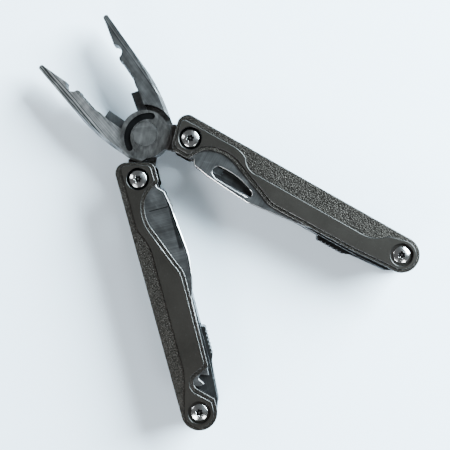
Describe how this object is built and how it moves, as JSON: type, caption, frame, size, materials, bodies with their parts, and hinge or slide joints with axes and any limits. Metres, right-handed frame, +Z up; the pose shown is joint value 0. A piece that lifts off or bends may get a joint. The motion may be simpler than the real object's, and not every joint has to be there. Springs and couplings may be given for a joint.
{
  "type": "multi tool",
  "caption": "Folding multi tool with pliers open, two hinged handles, outside blades under metal scales and inside tools on the far axles.",
  "frame": {"origin": "under the middle of the tool, on the surface that it rests on", "axes": "+Y along the jaws, from the handles to the jaw tips, +Z up through the thickness, +X towards the handle with the knife"},
  "size_m": [0.1066, 0.1433, 0.0198],
  "materials": {
    "plier_steel": "satin stainless casting",
    "rivet_steel": "ground flush",
    "scale_titanium": null,
    "channel_steel": "satin sheet steel",
    "blade_steel": "brushed along the blade",
    "tool_steel": "satin",
    "rocker_steel": "dark satin",
    "screw_steel": "polished stainless",
    "axle_steel": "turned",
    "spring_steel": "rolled strip",
    "bit_steel": "dark hardened"
  },
  "bodies": {
    "jaw_back": {"jaw_back": "plier_steel"},
    "plier_pivot": {"plier_pivot": "rivet_steel"},
    "jaw_front": {"jaw_front": "plier_steel"},
    "left_handle": {"left_channel": "channel_steel", "left_top_scale": "scale_titanium", "left_bottom_scale": "scale_titanium", "left_plier_axle": "axle_steel", "left_tool_axle": "axle_steel", "left_screws": "screw_steel", "left_rocker_pin": "axle_steel", "left_rocker_spring": "spring_steel", "left_scissors_spacer": "axle_steel", "left_tool_spacer": "axle_steel"},
    "right_handle": {"right_channel": "channel_steel", "right_top_scale": "scale_titanium", "right_bottom_scale": "scale_titanium", "right_plier_axle": "axle_steel", "right_tool_axle": "axle_steel", "right_screws": "screw_steel", "right_rocker_pin": "axle_steel", "right_rocker_spring": "spring_steel", "right_tool_spacer": "axle_steel"},
    "left_lock_rocker": {"left_lock_rocker": "rocker_steel"},
    "right_lock_rocker": {"right_lock_rocker": "rocker_steel"},
    "knife": {"knife_blade": "blade_steel"},
    "saw": {"saw_blade": "blade_steel"},
    "serrated_blade": {"serrated_blade": "blade_steel"},
    "file": {"file_blade": "blade_steel"},
    "large_bit_driver": {"large_bit_driver": "tool_steel", "large_bit": "bit_steel"},
    "small_bit_driver": {"small_bit_driver": "tool_steel", "small_bit": "bit_steel"},
    "can_bottle_opener": {"can_bottle_opener": "tool_steel"},
    "scissors": {"scissors_fixed_blade": "tool_steel", "scissors_rivet": "axle_steel", "scissors_spring": "spring_steel"},
    "scissors_lever": {"scissors_moving_blade": "tool_steel"},
    "medium_screwdriver": {"medium_screwdriver": "tool_steel"}
  },
  "joints": [
    {"name": "jaw_squeeze", "type": "hinge", "parent": "jaw_back", "child": "plier_pivot", "pos_m": [0, 0.02745, 0.0099], "axis": [0, 0, 1], "range_deg": [-35, 0]},
    {"name": "jaw_fold_close", "type": "hinge", "parent": "plier_pivot", "child": "jaw_front", "pos_m": [0, 0.02745, 0.0099], "axis": [0, 0, 1], "range_deg": [-35.8, 0]},
    {"name": "right_handle_fold", "type": "hinge", "parent": "jaw_front", "child": "right_handle", "pos_m": [0.01209, 0.01569, 0.0099], "axis": [0, 0, 1], "range_deg": [0, 174.7]},
    {"name": "left_handle_fold", "type": "hinge", "parent": "jaw_back", "child": "left_handle", "pos_m": [-0.01209, 0.01569, 0.0099], "axis": [0, 0, 1], "range_deg": [-174.7, 0]},
    {"name": "knife_open", "type": "hinge", "parent": "right_handle", "child": "knife", "pos_m": [0.01209, 0.01569, 0.0099], "axis": [0, 0, -1], "range_deg": [0, 45]},
    {"name": "saw_open", "type": "hinge", "parent": "right_handle", "child": "saw", "pos_m": [0.01209, 0.01569, 0.0099], "axis": [0, 0, -1], "range_deg": [0, 45]},
    {"name": "serrated_blade_open", "type": "hinge", "parent": "left_handle", "child": "serrated_blade", "pos_m": [-0.01209, 0.01569, 0.0099], "axis": [0, 0, 1], "range_deg": [0, 45]},
    {"name": "file_open", "type": "hinge", "parent": "left_handle", "child": "file", "pos_m": [-0.01209, 0.01569, 0.0099], "axis": [0, 0, 1], "range_deg": [0, 45]},
    {"name": "large_bit_driver_open", "type": "hinge", "parent": "right_handle", "child": "large_bit_driver", "pos_m": [0.04675, -0.06519, 0.0099], "axis": [0, 0, 1], "range_deg": [-175, 0]},
    {"name": "small_bit_driver_open", "type": "hinge", "parent": "right_handle", "child": "small_bit_driver", "pos_m": [0.04675, -0.06519, 0.0099], "axis": [0, 0, 1], "range_deg": [-175, 0]},
    {"name": "can_bottle_opener_open", "type": "hinge", "parent": "left_handle", "child": "can_bottle_opener", "pos_m": [-0.04675, -0.06519, 0.0099], "axis": [0, 0, -1], "range_deg": [-175, 0]},
    {"name": "scissors_open", "type": "hinge", "parent": "left_handle", "child": "scissors", "pos_m": [-0.04675, -0.06519, 0.0099], "axis": [0, 0, -1], "range_deg": [-175, 0]},
    {"name": "medium_screwdriver_open", "type": "hinge", "parent": "left_handle", "child": "medium_screwdriver", "pos_m": [-0.04675, -0.06519, 0.0099], "axis": [0, 0, -1], "range_deg": [-175, 0]},
    {"name": "scissors_spread", "type": "hinge", "parent": "scissors", "child": "scissors_lever", "pos_m": [-0.03688, -0.04875, 0.0099], "axis": [0, 0, -1], "range_deg": [-10, 0]},
    {"name": "left_lock_release", "type": "hinge", "parent": "left_handle", "child": "left_lock_rocker", "pos_m": [-0.03469, -0.05404, 0.0099], "axis": [0, 0, 1], "range_deg": [0, 4], "stiffness_Nm_per_rad": 0.02},
    {"name": "right_lock_release", "type": "hinge", "parent": "right_handle", "child": "right_lock_rocker", "pos_m": [0.03469, -0.05404, 0.0099], "axis": [0, 0, -1], "range_deg": [0, 4], "stiffness_Nm_per_rad": 0.02}
  ],
  "couplings": [
    {"joint": "jaw_fold_close", "follows": "right_handle_fold", "ratio": -0.20492},
    {"joint": "left_handle_fold", "follows": "right_handle_fold", "ratio": -1}
  ]
}
